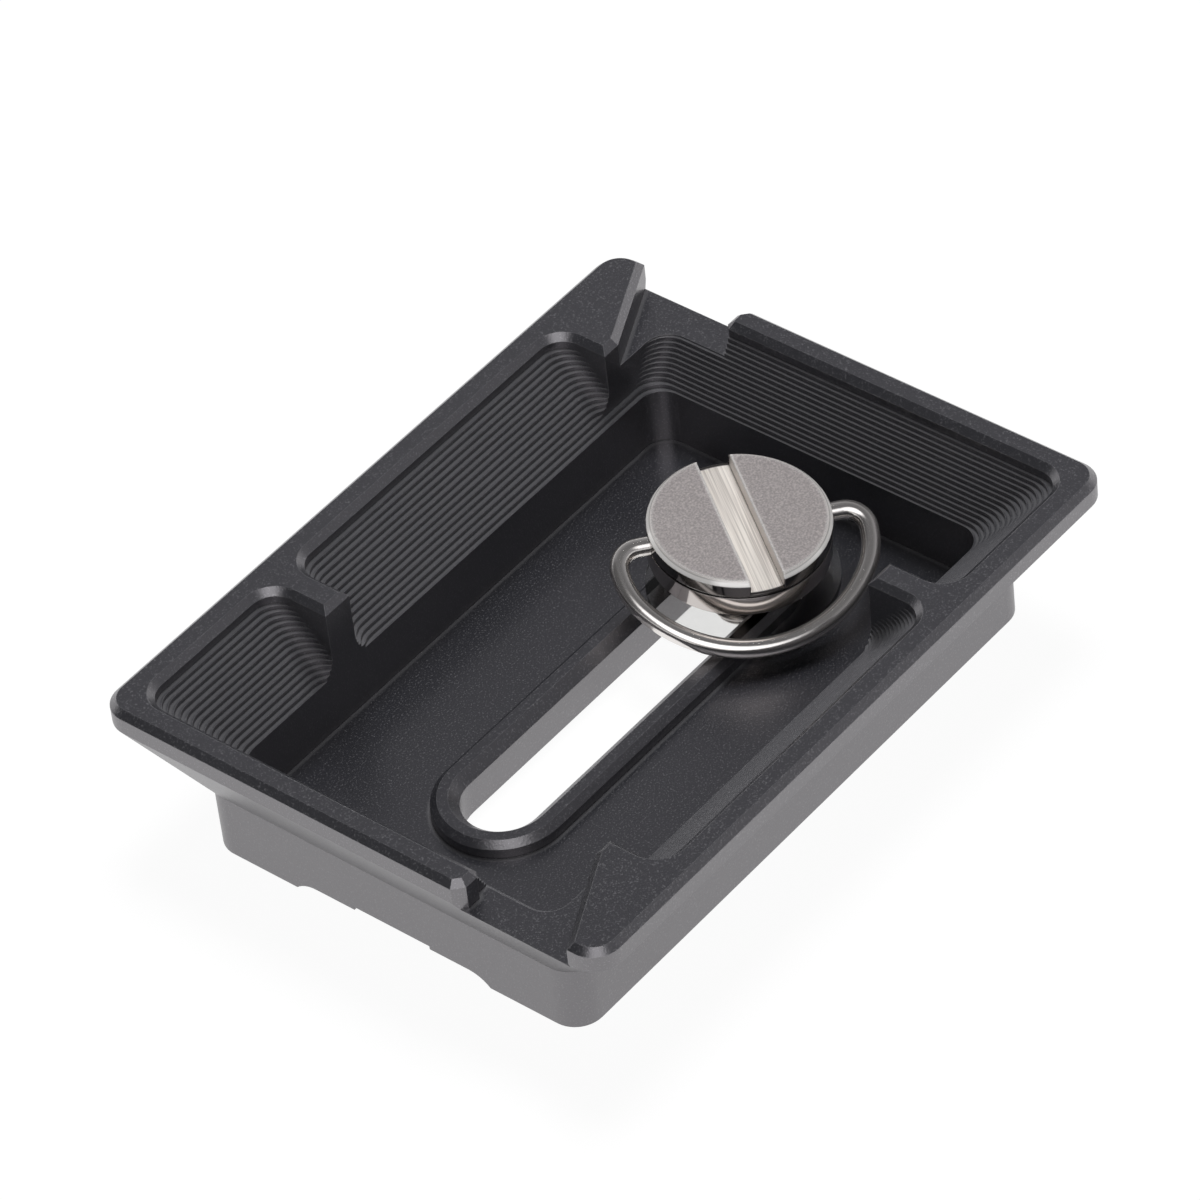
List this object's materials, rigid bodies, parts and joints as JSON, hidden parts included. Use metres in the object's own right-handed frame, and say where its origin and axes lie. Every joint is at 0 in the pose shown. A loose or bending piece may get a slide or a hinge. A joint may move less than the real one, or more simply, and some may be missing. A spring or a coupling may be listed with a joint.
{
  "type": "tripod quick release plate",
  "caption": "Black milled tray plate with dovetail flanges that locks into a tripod head, with a slotted camera screw, folding D-ring and clear washer in its slot.",
  "frame": {"origin": "Centre of the camera face, at the bottom of the part as it lies with its tray open upwards.", "axes": "+X along the plate and its slot, +Y towards the long wall at the left of the picture, +Z out of the open tray."},
  "size_m": [0.09, 0.0698, 0.021],
  "materials": {
    "anodised": "bead-blasted black anodised",
    "nickel": "bright nickel plate",
    "wire": "bright nickel plate",
    "clear": "clear gloss"
  },
  "bodies": {
    "plate": {"plate_body": "anodised"},
    "washer": {"washer": "clear"},
    "screw": {"camera_screw": "nickel"},
    "ring": {"d_ring": "wire"}
  },
  "joints": [
    {"name": "screw_slide", "type": "slide", "parent": "plate", "child": "washer", "axis": [1, 0, 0], "range_m": [-0.04245, 0]},
    {"name": "screw_turn", "type": "hinge", "parent": "washer", "child": "screw", "pos_m": [0.02123, 0, 0.00021], "axis": [0, -0.0872, 0.9962], "continuous": true},
    {"name": "ring_fold", "type": "hinge", "parent": "screw", "child": "ring", "pos_m": [0.02123, -0.00116, 0.01346], "axis": [-0.788, 0.6133, 0.0537], "range_deg": [0, 225]}
  ]
}
